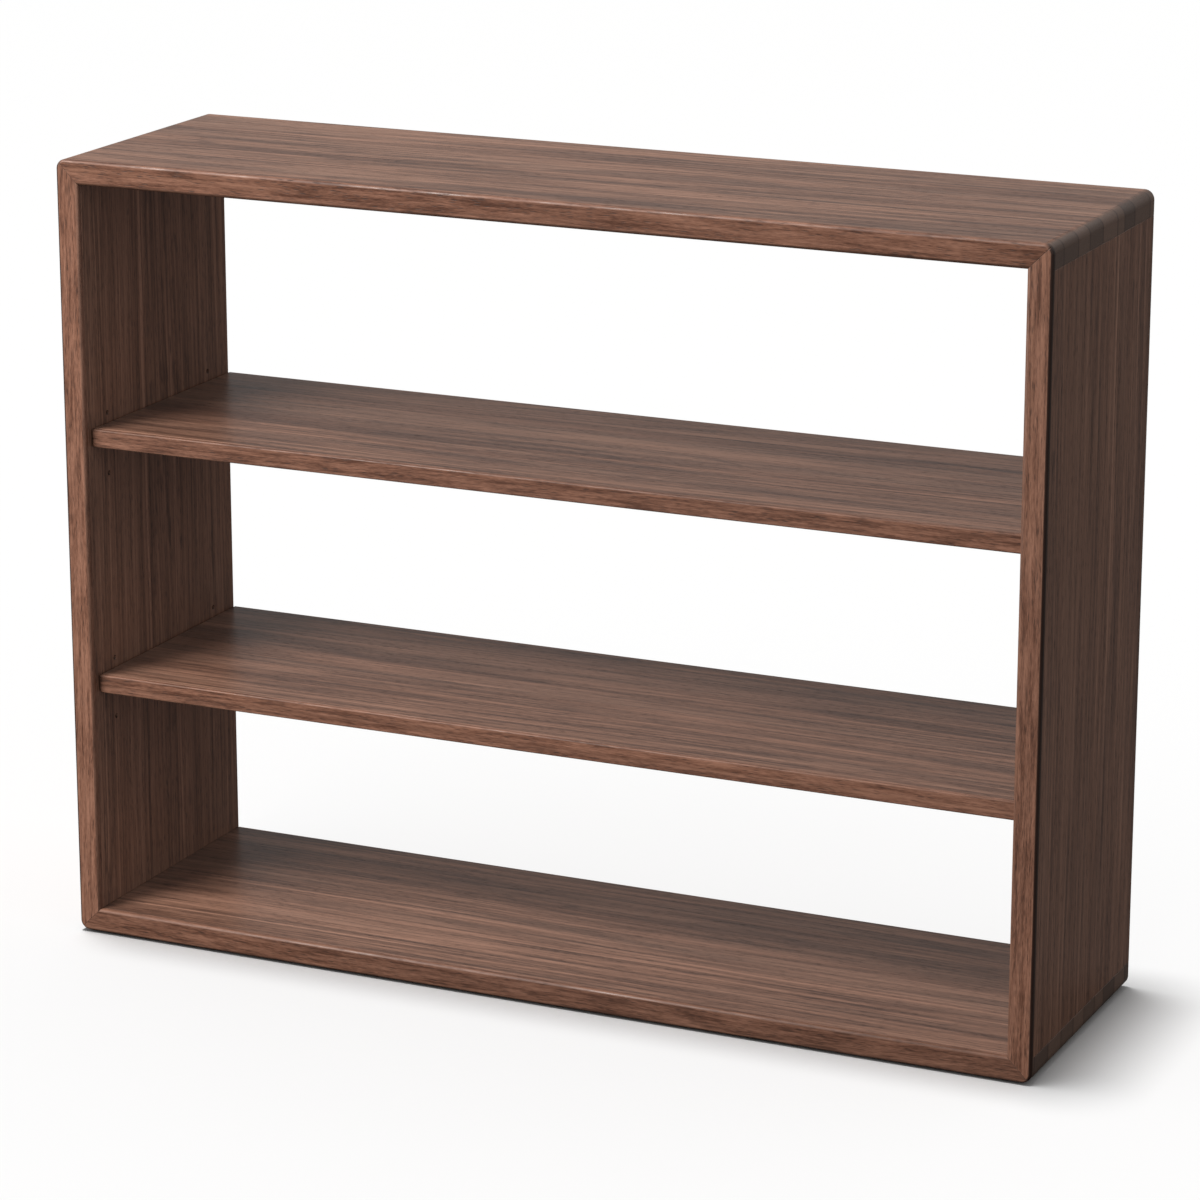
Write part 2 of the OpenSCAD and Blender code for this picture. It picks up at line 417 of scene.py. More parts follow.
def longGrainColour(tree, look, wood):
    patches = layer(tree, wood["parts"], *figure["patches"])
    tone = figure["middleTone"]
    for figured, share in (
        (patches, look["patchShare"]), (wood["streaks"], figure["streakShare"]),
        (wood["lines"], figure["lineShare"]), (wood["fibres"], look["fibreShare"]),
        (wood["staveTone"], figure["staveShare"]),
    ):
        tone = calc(tree, "ADD", tone, centred(tree, figured, share * look["contrast"]))
    tone = calc(tree, "MINIMUM", calc(tree, "MAXIMUM", tone, 0.0), 1.0)
    warmColours = (look["dark"], look["middle"], look["light"])
    coolColours = (look["greyDark"], look["greyLight"])
    warm = ramp(tree, tone, list(zip(figure["warmTones"], warmColours)))
    cool = ramp(tree, tone, list(zip(figure["coolTones"], coolColours)))
    greyness = layer(tree, wood["parts"], *figure["greyness"])
    greyness = calc(tree, "ADD", greyness, centred(tree, wood["staveTint"], figure["tintShare"]))
    greyShare = fade(tree, greyness, *figure["greyCut"], 0.0, look["greyShare"])
    colour = blendColours(tree, greyShare, warm, cool)

    lateShare = calc(tree, "MULTIPLY", wood["lateWood"], figure["lateWoodShare"])
    colour = blendColours(tree, lateShare, colour, look["lateWood"])
    paleShare = fade(tree, layer(tree, wood["bent"], *figure["paleLines"]), *figure["paleCut"])
    colour = blendColours(tree, paleShare, colour, look["paleLine"])
    flecks = fade(tree, layer(tree, wood["parts"], *figure["flecks"]), *figure["fleckCut"])
    flecks = calc(tree, "MULTIPLY", flecks, fade(tree, patches, *figure["fleckPatches"]))
    colour = blendColours(tree, flecks, colour, look["lateWood"])
    poreShare = calc(tree, "MULTIPLY", wood["pores"], look["poreShare"])
    return blendColours(tree, poreShare, colour, look["pore"])


def endGrainColour(tree, look, wood):
    # sawn ends: the staves differ more, with the rings in arcs and the pores as dots
    colour = blendColours(tree, wood["staveTone"], look["endDark"], look["endLight"])
    ringShare = calc(tree, "MULTIPLY", wood["ringPhase"], figure["endRingShare"])
    colour = blendColours(tree, ringShare, colour, look["endDark"])
    dots = distanceToDot(tree, wood["straight"], *figure["endPores"])
    return blendColours(tree, fade(tree, dots, *figure["endPoreEdge"]), colour, look["pore"])


def glueLines(tree, look, wood):
    # glue lines between the staves, which show most on the sawn ends
    gap = staveCells(tree, wood["straight"][1], look, "DISTANCE_TO_EDGE")["Distance"]
    fine = fade(tree, gap, *figure["fineGlue"])
    wide = fade(tree, gap, *figure["wideGlue"])
    return firstOutput(tree, "ShaderNodeMix", {0: wood["endGrain"], 2: fine, 3: wide})


def woodMaterial(name, look):
    material = bpy.data.materials.new(name)
    material.use_nodes = True
    tree = material.node_tree
    shader = tree.nodes["Principled BSDF"]
    wood = growWood(tree, look)
    endGrain, pores = wood["endGrain"], wood["pores"]
    colour = longGrainColour(tree, look, wood)
    colour = blendColours(tree, endGrain, colour, endGrainColour(tree, look, wood))
    colour = blendColours(tree, glueLines(tree, look, wood), colour, look["pore"])

    # the outer faces of the upright lippings are darkened with painted shade, and the other arrises get a
    # paler colour in places, which is painted highlight as well as rubbed wear
    paintedShade = readAttribute(tree, "paintedShade")
    colour = blendColours(tree, calc(tree, "MULTIPLY", paintedShade, figure["paintedShadeShare"]), colour, look["paintedShade"])
    onFace = calc(tree, "SUBTRACT", 1.0, calc(tree, "MAXIMUM", endGrain, paintedShade))
    arris = calc(tree, "MULTIPLY", readAttribute(tree, "arris"), onFace)
    # the arrises are painted paler in places, as painted highlight and rubbed wear
    paintedHighlightAndWear = fade(tree, layer(tree, wood["straight"], *figure["highlightAndWearNoise"]), *figure["highlightAndWearCut"])
    colour = blendColours(tree, calc(tree, "MULTIPLY", arris, paintedHighlightAndWear), colour, look["paintedHighlightAndWear"])
    tree.links.new(colour, shader.inputs["Base Color"])

    rough = calc(tree, "ADD", look["roughness"], centred(tree, wood["streaks"], varnish["streakRoughness"]))
    rough = calc(tree, "MULTIPLY_ADD", pores, varnish["poreRoughness"], rough)
    rough = calc(tree, "MULTIPLY_ADD", endGrain, varnish["endRoughness"], rough)
    worn = calc(tree, "SUBTRACT", varnish["arrisRoughness"], paintedHighlightAndWear)
    rough = calc(tree, "MULTIPLY_ADD", arris, worn, rough)
    tree.links.new(rough, shader.inputs["Roughness"])
    shader.inputs["Specular IOR Level"].default_value = look["specular"]
    shader.inputs["IOR"].default_value = varnish["ior"]

    relief = calc(tree, "MULTIPLY", wood["fibres"], varnish["fibreHeight"])
    relief = calc(tree, "MULTIPLY_ADD", pores, varnish["poreDepth"], relief)
    relief = calc(tree, "MULTIPLY_ADD", wood["lines"], varnish["lineHeight"], relief)
    relief = calc(tree, "MULTIPLY", relief, calc(tree, "SUBTRACT", 1.0, endGrain))
    bump = firstOutput(tree, "ShaderNodeBump", {
        "Strength": varnish["bumpStrength"], "Distance": varnish["bumpDepth"], "Height": relief,
    })
    tree.links.new(bump, shader.inputs["Normal"])
    return material


smallFinishes = {
    "beech": {
        "low": (0.42, 0.27, 0.155, 1), "high": (0.66, 0.48, 0.32, 1), "marks": (0.30, 0.17, 0.09, 1),
        "stretch": (1400, 1400, 60), "markStretch": (900, 900, 300), "markCut": 0.66,
        "roughness": 0.62, "roughSpread": 0.2, "markRough": 0.15, "metallic": 0.0, "bumpDepth": 0.12 * mm,
    },
    "nickel": {
        "low": (0.52, 0.49, 0.45, 1), "high": (0.78, 0.76, 0.72, 1), "marks": (0.24, 0.21, 0.18, 1),
        "stretch": (4200, 240, 240), "markStretch": (500, 900, 900), "markCut": 0.70,
        "roughness": 0.27, "roughSpread": 0.24, "markRough": 0.15, "metallic": 1.0, "bumpDepth": 0.02 * mm,
    },
    "nylon": {
        "low": (0.018, 0.018, 0.019, 1), "high": (0.040, 0.040, 0.042, 1), "marks": (0.10, 0.095, 0.09, 1),
        "stretch": (1500, 1500, 1500), "markStretch": (260, 420, 420), "markCut": 0.68,
        "roughness": 0.52, "roughSpread": 0.2, "markRough": 0.15, "metallic": 0.0, "bumpDepth": 0.06 * mm,
    },
}


smallFigure = {
    "fineDetail": (4.0, 0.6),
    "markDetail": (3.0, 0.65),
    "markEdge": 0.1,
    "lowTone": 0.28,
    "highTone": 0.72,
    "bumpStrength": 0.5,
}


def smallPartMaterial(name, look):
    material = bpy.data.materials.new(name)
    material.use_nodes = True
    tree = material.node_tree
    shader = tree.nodes["Principled BSDF"]
    place = addNode(tree, "ShaderNodeTexCoord").outputs["Object"]
    fine = firstOutput(tree, "ShaderNodeMapping", {"Vector": place, "Scale": look["stretch"]})
    grain = noise(tree, fine, *smallFigure["fineDetail"])
    coarse = firstOutput(tree, "ShaderNodeMapping", {"Vector": place, "Scale": look["markStretch"]})
    marks = noise(tree, coarse, *smallFigure["markDetail"])
    marks = fade(tree, marks, look["markCut"] - smallFigure["markEdge"], look["markCut"])
    tones = [(smallFigure["lowTone"], look["low"]), (smallFigure["highTone"], look["high"])]
    colour = ramp(tree, grain, tones)
    tree.links.new(blendColours(tree, marks, colour, look["marks"]), shader.inputs["Base Color"])
    rough = calc(tree, "ADD", look["roughness"], centred(tree, grain, look["roughSpread"]))
    tree.links.new(calc(tree, "MULTIPLY_ADD", marks, look["markRough"], rough), shader.inputs["Roughness"])
    shader.inputs["Metallic"].default_value = look["metallic"]
    bump = firstOutput(tree, "ShaderNodeBump", {
        "Strength": smallFigure["bumpStrength"], "Distance": look["bumpDepth"], "Height": grain,
    })
    tree.links.new(bump, shader.inputs["Normal"])
    return material


finishes = {
    "walnut_board": woodMaterial("walnutBoards", walnutBoards),
    "rails": woodMaterial("walnutRails", walnutRails),
    "left_side": woodMaterial("walnutLeftSidePaintedLight", leftUprightPaintedLight),
    "right_side": woodMaterial("walnutRightSide", walnutUprights),
    "walnut_lipping": woodMaterial("walnutLippings", walnutLippings),
    "beech_dowel": smallPartMaterial("beechDowels", smallFinishes["beech"]),
    "nickel_steel": smallPartMaterial("nickelPegs", smallFinishes["nickel"]),
    "nylon_glide": smallPartMaterial("blackNylon", smallFinishes["nylon"]),
}
print("materials made")


edging = {
    "arrisRadius": 3.0 * mm,
    "arrisSteps": 8,
    "cornerRadius": 10.0 * mm,
    "cornerSteps": 12,
    "easing": 0.5 * mm,       # at joints and on plain edges
    "mitreEasing": 0.3 * mm,
    "shelfArris": 1.5 * mm,
    "shelfSteps": 4,
    "sharpAngle": 40.0,       # degrees: only edges sharper than this are eased
    "curvedWidth": 2.5 * mm,  # narrower faces than this belong to a curve
    "arrisWidth": 1.2 * mm,   # and narrower ones than this to an arris
}
tiny = 1e-6  # metres, for what counts as the same place


def easeEdges(shape, width, steps=2, only=None):
    sharpest = math.radians(edging["sharpAngle"])
    sharp = [
        e for e in shape.edges
        if len(e.link_faces) == 2 and e.calc_face_angle() > sharpest and (only is None or only(e))
    ]
    bmesh.ops.bevel(
        shape, geom=sharp, offset=width, offset_type="OFFSET", segments=steps, profile=0.5,
        affect="EDGES", clamp_overlap=True,
    )


def extrudeOutline(outline, depthStart, depthEnd):
    shape = bmesh.new()
    near = [shape.verts.new((x, depthStart, z)) for x, z in outline]
    far = [shape.verts.new((x, depthEnd, z)) for x, z in outline]
    shape.faces.new(near)
    shape.faces.new(reversed(far))
    for i in range(len(outline)):
        j = (i + 1) % len(outline)
        shape.faces.new((near[i], far[i], far[j], near[j]))
    bmesh.ops.recalc_face_normals(shape, faces=shape.faces)
    return shape


def arc(centreX, centreZ, radius, startDegrees, endDegrees, steps):
    points = []
    for i in range(steps + 1):
        angle = math.radians(startDegrees + (endDegrees - startDegrees) * i / steps)
        points.append((centreX + radius * math.cos(angle), centreZ + radius * math.sin(angle)))
    return points


def blockShape(node):
    # a plain block as large as the node, to be eased and drilled
    lowest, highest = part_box(node)
    outline = [(lowest.x, lowest.z), (highest.x, lowest.z), (highest.x, highest.z), (lowest.x, highest.z)]
    return extrudeOutline(outline, lowest.y, highest.y)


def finishPiece(name, shape, slotName, body, node, along="X", across="Y", seed=0, outward=None, finish=None):
    # shape is a bmesh or a mesh; walnut gets its grain along one axis and across another
    mesh = shape
    if isinstance(shape, bmesh.types.BMesh):
        mesh = bpy.data.meshes.new(name)
        shape.to_mesh(mesh)
        shape.free()
    shadeCurves(mesh)
    if slotName.startswith("walnut"):
        layGrain(mesh, along, across, seed, outward)
    mesh.materials.clear()
    mesh.materials.append(finishes[finish or slotName])
    piece = bpy.data.objects.new(name, mesh)
    bpy.context.scene.collection.objects.link(piece)
    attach(piece, body)
    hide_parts(node)


def faceWidth(face, mesh):
    loop = [mesh.vertices[v].co for v in face.vertices]
    longest = max((loop[i] - loop[i - 1]).length for i in range(len(loop)))
    return face.area / longest


def shadeCurves(mesh):
    for face in mesh.polygons:
        face.use_smooth = faceWidth(face, mesh) < edging["curvedWidth"]


grainLay = {
    "logReach": (3.0, 0.6, 0.02),  # metres that a board may be shifted in its log, each way
    "endStart": 0.12,   # a face turned less than this towards the fibres shows no end grain
    "endGain": 2.6,
    "paintedShadeStart": 0.1,  # the same for the painted shade on faces that turn outwards
    "paintedShadeGain": 4.0,
}


def layGrain(mesh, along, across, seed, outward):
    axes = "XYZ"
    g, a = axes.index(along), axes.index(across)
    b = 3 - g - a  # the axis that is left
    luck = random.Random(seed)
    shift = Vector([luck.uniform(-reach, reach) for reach in grainLay["logReach"]])
    grain = mesh.attributes.new("grain", "FLOAT_VECTOR", "POINT")
    for i, v in enumerate(mesh.vertices):
        grain.data[i].vector = Vector((v.co[g], v.co[a], v.co[b])) + shift
    endGrain = mesh.attributes.new("endGrain", "FLOAT", "CORNER")
    arris = mesh.attributes.new("arris", "FLOAT", "CORNER")
    paintedShade = mesh.attributes.new("paintedShade", "FLOAT", "CORNER")
    for face in mesh.polygons:
        onArris = faceWidth(face, mesh) < edging["arrisWidth"]
        for corner in face.loop_indices:
            vertex = mesh.vertices[mesh.loops[corner].vertex_index]
            normal = vertex.normal if face.use_smooth else face.normal
            towards = (abs(normal[g]) - grainLay["endStart"]) * grainLay["endGain"]
            endGrain.data[corner].value = min(1.0, max(0.0, towards))
            arris.data[corner].value = 1.0 if onArris else 0.0
            # faces that turn outwards are darkened with painted shade, more the further they turn
            if outward:
                outwards = (normal.dot(outward) - grainLay["paintedShadeStart"]) * grainLay["paintedShadeGain"]
                paintedShade.data[corner].value = min(1.0, max(0.0, outwards))


# dowels, pegs, glides and the drills for their holes are all turned through six stations
stationCount = 6


def turnedTree():
    tree = bpy.data.node_groups.new("turnedPieces", "GeometryNodeTree")
    panel = tree.interface
    panel.new_socket("Geometry", in_out="INPUT", socket_type="NodeSocketGeometry")
    for i in range(stationCount):
        panel.new_socket(f"Place {i + 1}", in_out="INPUT", socket_type="NodeSocketFloat")
        panel.new_socket(f"Radius {i + 1}", in_out="INPUT", socket_type="NodeSocketFloat")
    for name, kind in (
        ("Sides", "Int"), ("Flutes", "Int"), ("Flute Depth", "Float"), ("Count", "Int"),
        ("Spacing", "Vector"), ("Turn Seed", "Int"), ("Finish", "Material"),
    ):
        panel.new_socket(name, in_out="INPUT", socket_type="NodeSocket" + kind)
    panel.new_socket("Geometry", in_out="OUTPUT", socket_type="NodeSocketGeometry")
    given = addNode(tree, "NodeGroupInput").outputs

    # the axis, with a point at each station and the radius there
    index = firstOutput(tree, "GeometryNodeInputIndex")

    def pick(prefix):
        switch = addNode(tree, "GeometryNodeIndexSwitch", data_type="FLOAT")
        for _ in range(stationCount - 2):
            switch.index_switch_items.new()
        tree.links.new(index, switch.inputs[0])
        for i in range(stationCount):
            tree.links.new(given[f"{prefix} {i + 1}"], switch.inputs[i + 1])
        return switch.outputs[0]

    axis = firstOutput(tree, "GeometryNodeMeshLine", {"Count": stationCount})
    along = joined(tree, 0.0, 0.0, pick("Place"))
    axis = firstOutput(tree, "GeometryNodeSetPosition", {"Geometry": axis, "Position": along})
    axis = firstOutput(tree, "GeometryNodeMeshToCurve", {"Mesh": axis})

    # the section: a circle, fluted where the dowels need room for glue
    circle = firstOutput(tree, "GeometryNodeCurvePrimitiveCircle", {
        "Resolution": given["Sides"], "Radius": 1.0,
    })
    turn = addNode(tree, "GeometryNodeSplineParameter").outputs["Factor"]
    flute = calc(tree, "MULTIPLY", turn, given["Flutes"])
    wave = calc(tree, "COSINE", calc(tree, "MULTIPLY", flute, math.tau))
    hollow = calc(tree, "POWER", calc(tree, "MAXIMUM", wave, 0.0), 0.5)
    cut = calc(tree, "MULTIPLY", hollow, given["Flute Depth"])
    inward = addNode(tree, "ShaderNodeVectorMath", {
        0: firstOutput(tree, "GeometryNodeInputPosition"),
    }, operation="SCALE")
    tree.links.new(calc(tree, "SUBTRACT", 1.0, cut), inward.inputs["Scale"])
    circle = firstOutput(tree, "GeometryNodeSetPosition", {
        "Geometry": circle, "Position": inward.outputs[0],
    })
    one = firstOutput(tree, "GeometryNodeCurveToMesh", {
        "Curve": axis, "Profile Curve": circle, "Scale": pick("Radius"), "Fill Caps": True,
    })
    one = firstOutput(tree, "GeometryNodeMergeByDistance", {"Geometry": one, "Distance": tiny})

    # a row of them, each turned by chance about its own axis
    row = firstOutput(tree, "GeometryNodeMeshLine", {"Count": given["Count"], "Offset": given["Spacing"]})
    chance = addNode(tree, "FunctionNodeRandomValue", {2: 0.0, 3: math.tau, "Seed": given["Turn Seed"]})
    roll = firstOutput(tree, "FunctionNodeAxisAngleToRotation", {
        "Axis": (0, 0, 1), "Angle": chance.outputs[1],
    })
    row = firstOutput(tree, "GeometryNodeInstanceOnPoints", {
        "Points": row, "Instance": one, "Rotation": roll,
    })
    row = firstOutput(tree, "GeometryNodeRealizeInstances", {"Geometry": row})
    row = firstOutput(tree, "GeometryNodeSetMaterial", {"Geometry": row, "Material": given["Finish"]})
    addNode(tree, "NodeGroupOutput", {0: row})
    return tree


turnedPieces = turnedTree()


def appliedMesh(holder, name):
    solved = holder.evaluated_get(bpy.context.evaluated_depsgraph_get())
    mesh = bpy.data.meshes.new_from_object(solved)
    mesh.name = name
    data = holder.data
    bpy.data.objects.remove(holder)
    bpy.data.meshes.remove(data)
    return mesh


def turned(name, stations, sides, flutes=0, fluteDepth=0.0, count=1, spacing=(0, 0, 0), seed=0, finish=None):
    holder = bpy.data.objects.new(name, bpy.data.meshes.new(name))
    bpy.context.scene.collection.objects.link(holder)
    modifier = holder.modifiers.new("turned", "NODES")
    modifier.node_group = turnedPieces
    wanted = {
        "Sides": sides, "Flutes": flutes, "Flute Depth": fluteDepth, "Count": count,
        "Spacing": spacing, "Turn Seed": seed, "Finish": finish,
    }
    for i, (place, radius) in enumerate(stations):
        wanted[f"Place {i + 1}"] = place
        wanted[f"Radius {i + 1}"] = radius
    for item in turnedPieces.interface.items_tree:
        if item.in_out == "INPUT" and item.name in wanted:
            modifier[item.identifier] = wanted[item.name]
    return appliedMesh(holder, name)


drilling = {
    "rim": 0.3 * mm,   # countersink
    "over": 0.6 * mm,  # how far a drill starts outside the wood
    "sides": 28,
    "pegDepth": 10 * mm,
    "pegRadius": 2.5 * mm,
    "pegPitch": 32 * mm,
    "pegRows": 3,
    "dowelGap": 1.0 * mm,  # left empty at the end of each dowel
}


def drill(start, direction, radius, depth, count=1, step=(0, 0, 0)):
    # a row of holes: each opens at start with a small countersink and runs along direction
    out = Vector(direction).normalized()
    turn = out.to_track_quat("Z", "Y").to_matrix().to_4x4()
    local = turn.to_3x3().inverted() @ Vector(step)
    rim, over = drilling["rim"], drilling["over"]
    stations = [
        (-over, radius + rim), (0, radius + rim), (rim, radius),
        (depth / 3, radius), (depth * 2 / 3, radius), (depth, radius),
    ]
    mesh = turned("drill", stations, drilling["sides"], count=count, spacing=local)
    mesh.transform(Matrix.Translation(start) @ turn)
    return mesh


def withHoles(name, shape, drills):
    cutters = bmesh.new()
    for mesh in drills:
        cutters.from_mesh(mesh)
        bpy.data.meshes.remove(mesh)
    bmesh.ops.recalc_face_normals(cutters, faces=cutters.faces)
    tool = bpy.data.objects.new("drills", bpy.data.meshes.new("drills"))
    holder = bpy.data.objects.new(name, bpy.data.meshes.new(name))
    for made, source in ((tool, cutters), (holder, shape)):
        source.to_mesh(made.data)
        source.free()
        bpy.context.scene.collection.objects.link(made)
    modifier = holder.modifiers.new("holes", "BOOLEAN")
    modifier.operation = "DIFFERENCE"
    modifier.solver = "EXACT"
    modifier.object = tool
    mesh = appliedMesh(holder, name)
    toolData = tool.data
    bpy.data.objects.remove(tool)
    bpy.data.meshes.remove(toolData)
    return mesh


dowelStyle = {
    "radius": 4 * mm,
    "chamfer": 0.8 * mm,
    "flutes": 12,
    "fluteDepth": 0.09,  # share of the radius
    "sides": 72,
    "count": 4,
}


def buildDowels():
    r, c = dowelStyle["radius"], dowelStyle["chamfer"]
    nodes = [f"{end}_{side}_dowels" for end in ("top", "bottom") for side in ("left", "right")]
    for seed, node in enumerate(nodes):
        low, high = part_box(node)
        length = high.z - low.z
        step = (high.y - low.y - 2 * r) / (dowelStyle["count"] - 1)
        stations = [
            (0, r - c), (c, r), (length / 3, r),
            (length * 2 / 3, r), (length - c, r), (length, r - c),
        ]
        mesh = turned(
            node, stations, dowelStyle["sides"], dowelStyle["flutes"], dowelStyle["fluteDepth"],
            dowelStyle["count"], (0, step, 0), seed, finishes["beech_dowel"],
        )
        mesh.transform(Matrix.Translation(((low.x + high.x) / 2, low.y + r, low.z)))
        finishPiece(node + "_fluted", mesh, "beech_dowel", "case", node)


pegStyle = {
    "shankRadius": 2.45 * mm,
    "headRadius": 3.5 * mm,
    "headLength": 8 * mm,
    "chamfer": 0.6 * mm,
    "flat": 3.0 * mm,  # height of the flat above the axis
    "sides": 48,
}
shoulderStep = 0.02 * mm  # what a square shoulder takes along the axis


def pegNodes():
    for level in ("upper", "lower"):
        for side in ("left", "right"):
            for column in ("front", "rear"):
                yield f"{level}_{side}_{column}_peg"


def pegPlace(node):
    # where the peg's shoulder sits on the side, and which way its head points
    low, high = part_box(node)
    inward = 1 if low.x < 0 else -1
    shoulderX = high.x - pegStyle["headLength"] if inward > 0 else low.x + pegStyle["headLength"]
    axisZ = high.z - pegStyle["flat"]
    return Vector((shoulderX, (low.y + high.y) / 2, axisZ)), inward


def buildPegs():
    r, head, c = pegStyle["shankRadius"], pegStyle["headRadius"], pegStyle["chamfer"]
    headEnd = pegStyle["headLength"]
    for node in pegNodes():
        low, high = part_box(node)
        shoulder, inward = pegPlace(node)
        shank = high.x - low.x - headEnd
        stations = [
            (-shank, r - c), (c - shank, r), (0, r),
            (shoulderStep, head), (headEnd - c, head), (headEnd, head - c),
        ]
        mesh = turned(node, stations, pegStyle["sides"], finish=finishes["nickel_steel"])
        turn = Vector((inward, 0, 0)).to_track_quat("Z", "Y").to_matrix().to_4x4()
        mesh.transform(Matrix.Translation(shoulder) @ turn)
        shape = bmesh.new()
        shape.from_mesh(mesh)
        bpy.data.meshes.remove(mesh)
        everything = shape.verts[:] + shape.edges[:] + shape.faces[:]
        bmesh.ops.bisect_plane(
            shape, geom=everything, dist=tiny, clear_outer=True,
            plane_co=(0, 0, shoulder.z + pegStyle["flat"]), plane_no=(0, 0, 1),
        )
        bmesh.ops.holes_fill(shape, edges=[e for e in shape.edges if e.is_boundary], sides=0)
        bmesh.ops.recalc_face_normals(shape, faces=shape.faces)
        finishPiece(node + "_turned", shape, "nickel_steel", node + "_body", node)


glideStyle = {
    "radius": 10 * mm,
    "height": 2 * mm,
    "spigot": 2.5 * mm,
    "bevel": 2 / 3 * mm,
    "sides": 64,
}


def glideNodes():
    return [f"{side}_{column}_glide" for side in ("left", "right") for column in ("front", "rear")]


def buildGlides():
    r, h, spigot, bevel = (glideStyle[k] for k in ("radius", "height", "spigot", "bevel"))
    for node in glideNodes():
        low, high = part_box(node)
        tip = high.z - low.z
        stations = [
            (0, r - bevel), (bevel, r), (h, r),
            (h + shoulderStep, spigot), (tip - bevel, spigot), (tip, spigot - bevel),
        ]
        mesh = turned(node, stations, glideStyle["sides"], finish=finishes["nylon_glide"])
        mesh.transform(Matrix.Translation(((low.x + high.x) / 2, (low.y + high.y) / 2, low.z)))
        finishPiece(node + "_moulded", mesh, "nylon_glide", "case", node)


def dowelDrills(nodes, up):
    # the half of each dowel row that is in this board or side, drilled from the joint
    drills = []
    for node in nodes:
        low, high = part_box(node)
        joint = bottomZ + boardThickness if node.startswith("bottom") else topZ - boardThickness
        depth = (high.z - joint if up else joint - low.z) + drilling["dowelGap"]
        r = dowelStyle["radius"]
        step = (high.y - low.y - 2 * r) / (dowelStyle["count"] - 1)
        start = ((low.x + high.x) / 2, low.y + r, joint)
        drills.append(drill(start, (0, 0, 1 if up else -1), r, depth, dowelStyle["count"], (0, step, 0)))
    return drills


def pegDrills(side):
    # a column of holes at each peg, with the peg's own hole in the middle
    rows, pitch = drilling["pegRows"], drilling["pegPitch"]
    below = Vector((0, 0, (rows - 1) / 2 * pitch))
    drills = []
    for node in pegNodes():
        if f"_{side}_" in node:
            shoulder, inward = pegPlace(node)
            drills.append(drill(
                shoulder - below, (-inward, 0, 0), drilling["pegRadius"], drilling["pegDepth"],
                rows, (0, 0, pitch),
            ))
    return drills


def glideDrills():
    drills = []
    for node in glideNodes():
        low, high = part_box(node)
        start = ((low.x + high.x) / 2, (low.y + high.y) / 2, bottomZ)
        drills.append(drill(start, (0, 0, 1), glideStyle["spigot"], high.z - bottomZ))
    return drills


topLow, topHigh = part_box("top_board")
boardThickness = topHigh.z - topLow.z
topZ = topHigh.z
rearY = topHigh.y
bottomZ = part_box("bottom_board")[0].z
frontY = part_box("top_front_lipping")[0].y
lippingBackY = topLow.y
middleZ = (topZ + bottomZ) / 2
halfHeight = (topZ - bottomZ) / 2
halfWidth = (topHigh.x - topLow.x) / 2
innerX = halfWidth - boardThickness
innerZ = halfHeight - boardThickness


def facing(shape, degrees):
    # the bottom board is the top one turned over about the middle of the case
    turn = Matrix.Translation((0, 0, middleZ)) @ Matrix.Rotation(math.radians(degrees), 4, "Y")
    bmesh.ops.transform(shape, matrix=turn, verts=shape.verts)
    return shape


def lappingBoard():
    r, steps = edging["cornerRadius"], edging["cornerSteps"]
    outline = [(-halfWidth, innerZ), (halfWidth, innerZ)]
    outline += arc(halfWidth - r, halfHeight - r, r, 0, 90, steps)
    outline += arc(r - halfWidth, halfHeight - r, r, 90, 180, steps)
    shape = extrudeOutline(outline, lippingBackY, rearY)
    easeEdges(shape, edging["easing"])
    return shape


def plainBoard(node):
    shape = blockShape(node)
    easeEdges(shape, edging["easing"])
    return shape


def onPlane(edge, y):
    return all(abs(v.co.y - y) < tiny for v in edge.verts)


def frontRing():
    # the four lippings as one ring, before it is cut at the mitres
    r, steps = edging["cornerRadius"], edging["cornerSteps"]
    shape = bmesh.new()
    loops = []
    for y in (frontY, lippingBackY):
        outer = []
        for start, signX, signZ in ((0, 1, 1), (90, -1, 1), (180, -1, -1), (270, 1, -1)):
            outer += arc(signX * (halfWidth - r), signZ * (halfHeight - r), r, start, start + 90, steps)
        inner = [(innerX, innerZ), (-innerX, innerZ), (-innerX, -innerZ), (innerX, -innerZ)]
        loops.append((
            [shape.verts.new((x, y, z + middleZ)) for x, z in outer],
            [shape.verts.new((x, y, z + middleZ)) for x, z in inner],
        ))
    count = len(loops[0][0])
    perCorner = steps + 1
    for outer, inner in loops:
        for side in range(4):
            start = side * perCorner + steps // 2
            end = (side + 1) * perCorner + steps // 2
            run = [outer[i % count] for i in range(start, end + 1)]
            shape.faces.new(run + [inner[(side + 1) % 4], inner[side]])
    (outerNear, innerNear), (outerFar, innerFar) = loops
    for near, far in ((outerNear, outerFar), (innerNear, innerFar)):
        for i in range(len(near)):
            j = (i + 1) % len(near)
            shape.faces.new((near[i], near[j], far[j], far[i]))
    bmesh.ops.recalc_face_normals(shape, faces=shape.faces)
    easeEdges(shape, edging["arrisRadius"], edging["arrisSteps"], only=lambda e: onPlane(e, frontY))
    return shape


def mitredLipping(ring, out):
    shape = ring.copy()
    out = Vector(out)
    run = Vector((out.z, 0, -out.x))
    reach = innerX if out.x else innerZ
    half = innerZ if out.x else innerX
    for sign in (-1, 1):
        corner = Vector((0, 0, middleZ)) + out * reach + run * (sign * half)
        everything = shape.verts[:] + shape.edges[:] + shape.faces[:]
        bmesh.ops.bisect_plane(
            shape, geom=everything, dist=tiny, clear_inner=True,
            plane_co=corner, plane_no=(out - run * sign).normalized(),
        )
        bmesh.ops.holes_fill(shape, edges=[e for e in shape.edges if e.is_boundary], sides=0)
    bmesh.ops.recalc_face_normals(shape, faces=shape.faces)
    easeEdges(shape, edging["mitreEasing"], 1)
    return shape


